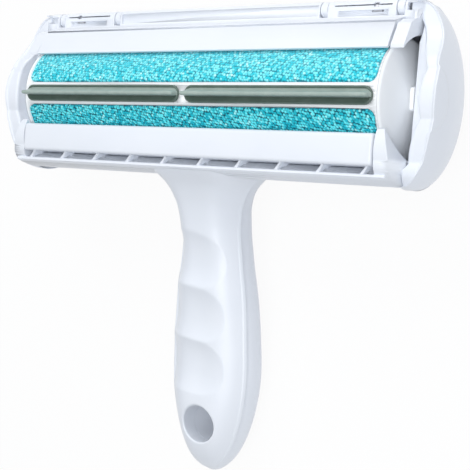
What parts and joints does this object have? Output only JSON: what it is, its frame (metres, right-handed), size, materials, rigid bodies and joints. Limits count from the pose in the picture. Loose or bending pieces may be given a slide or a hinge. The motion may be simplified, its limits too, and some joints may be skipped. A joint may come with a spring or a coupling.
{
  "type": "pet hair removal brush",
  "caption": "T-shaped hand roller that lifts pet hair with a rocking drum of nap fabric and a rubber wiper, and drops it into a lidded dust chamber behind the drum.",
  "frame": {"origin": "middle of the tool's footprint, on the surface it lies on", "axes": "+Z out of the working face (the drum faces up, the back lies on the surface), +Y from the handle up to the head, +X along the drum"},
  "size_m": [0.199, 0.1792, 0.0563],
  "materials": {
    "housing": "smooth glossy white",
    "drum": "smooth glossy white",
    "fabric_light": "short directional nap, light turquoise",
    "fabric_dark": "short directional nap, dark teal",
    "pad": "soft matt rubber, grey green",
    "wiper": "soft satin rubber, pale grey green",
    "lip": "soft satin rubber",
    "steel": "bright drawn steel"
  },
  "bodies": {
    "housing": {"front_frame": "housing", "lower_jaw": "housing", "lip_upper": "lip", "lip_lower": "lip", "back_shell": "housing", "handle_front": "housing", "handle_back": "housing", "end_cover_left": "housing", "end_cover_right": "housing", "axle_pins": "steel", "button_spring": "steel"},
    "drum": {"drum_shell": "drum", "drum_cap_left": "drum", "drum_cap_right": "drum", "fabric_upper": "fabric_light", "fabric_lower": "fabric_dark", "pad_left": "pad", "pad_right": "pad", "wiper_left": "wiper", "wiper_right": "wiper"},
    "lid": {"dust_lid": "housing", "hinge_pins": "steel"},
    "button": {"release_button": "housing"}
  },
  "joints": [
    {"name": "drum_rock", "type": "hinge", "parent": "housing", "child": "drum", "pos_m": [0, 0.0554, 0.0308], "axis": [1, 0, 0], "range_deg": [-22, 22]},
    {"name": "lid_open", "type": "hinge", "parent": "housing", "child": "lid", "pos_m": [0, 0.0867, 0.0332], "axis": [1, 0, 0], "range_deg": [0, 100]},
    {"name": "button_press", "type": "slide", "parent": "housing", "child": "button", "axis": [0, 0.7254, 0.6884], "range_m": [0, 0.0014], "stiffness_N_per_m": 900, "springref_m": -0.001, "deforming": ["button_spring"]}
  ]
}
